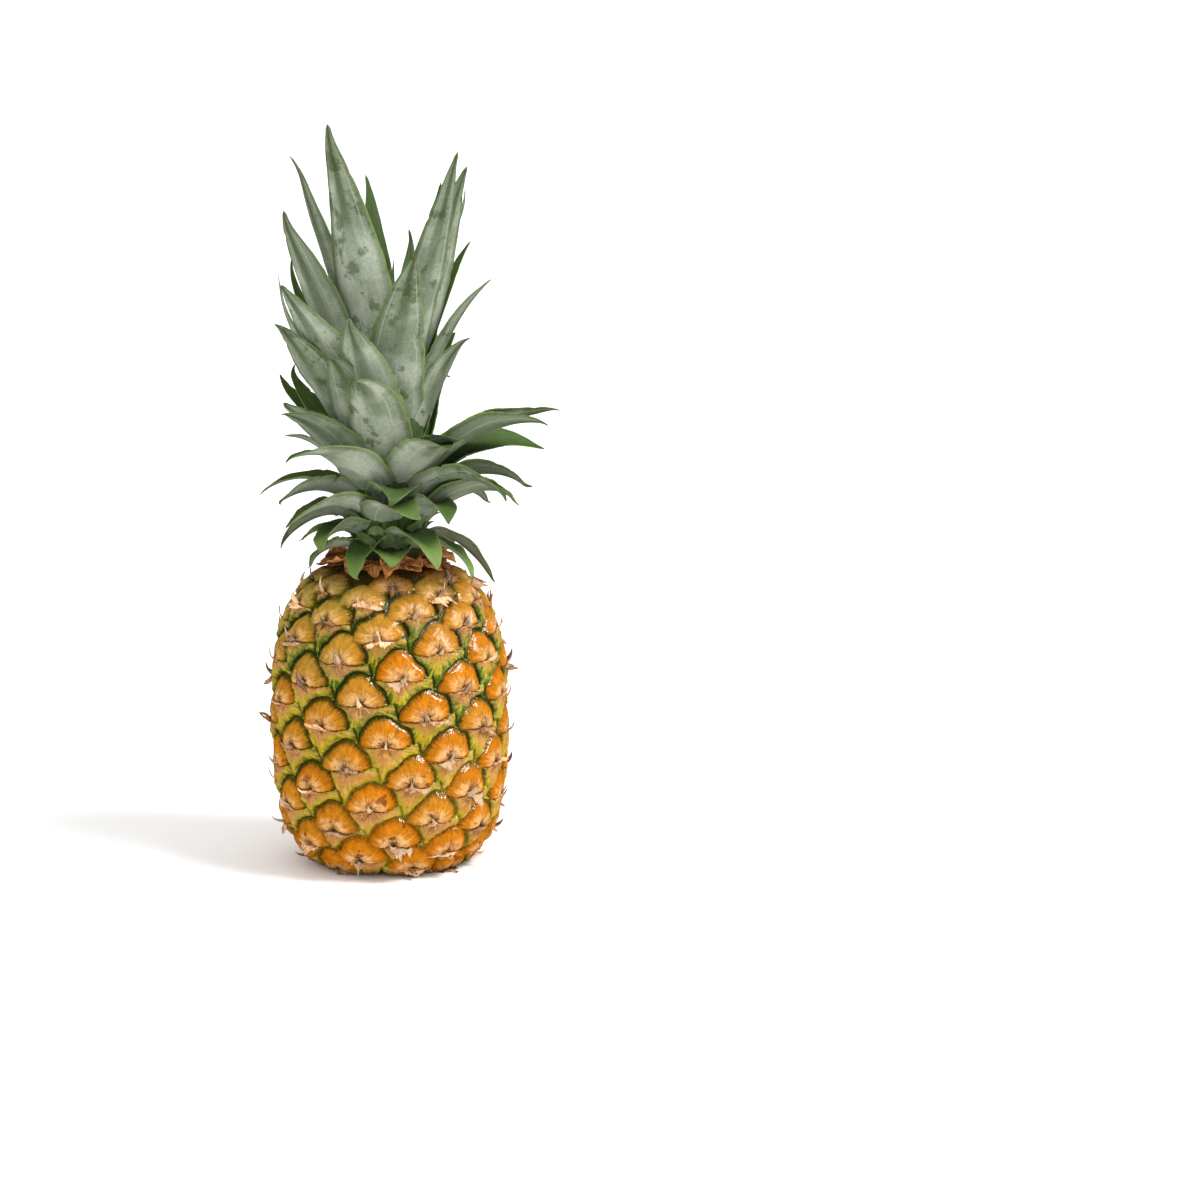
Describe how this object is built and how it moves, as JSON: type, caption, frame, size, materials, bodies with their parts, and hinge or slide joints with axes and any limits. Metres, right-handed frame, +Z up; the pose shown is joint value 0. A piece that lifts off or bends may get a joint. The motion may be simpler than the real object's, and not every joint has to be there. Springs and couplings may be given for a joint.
{
  "type": "pineapple",
  "caption": "Whole ripe pineapple standing on its flat base, with plump spiralled eyes, dry pointed bracts, a scaly dry neck and a tall crown of stiff curved leaves.",
  "frame": {"origin": "middle of the flat underside, at the cut stalk, where the fruit rests", "axes": "+Z up along the fruit's axis through the crown; -Y is the side with the gap between the tallest leaves; +X is the side where two long middle leaves reach out furthest"},
  "size_m": [0.1358, 0.1168, 0.3324],
  "materials": {
    "rind": "satin leathery rind, orange-yellow eyes with peach centres, green in the grooves",
    "dry_scales": "dull dry reddish-brown scales",
    "leaves": "stiff matte leaves, grey-green and powdery on the back, darker green on the inner face"
  },
  "bodies": {
    "root": {"fruit": "rind", "dry_collar": "dry_scales", "crown": "leaves"}
  },
  "joints": []
}
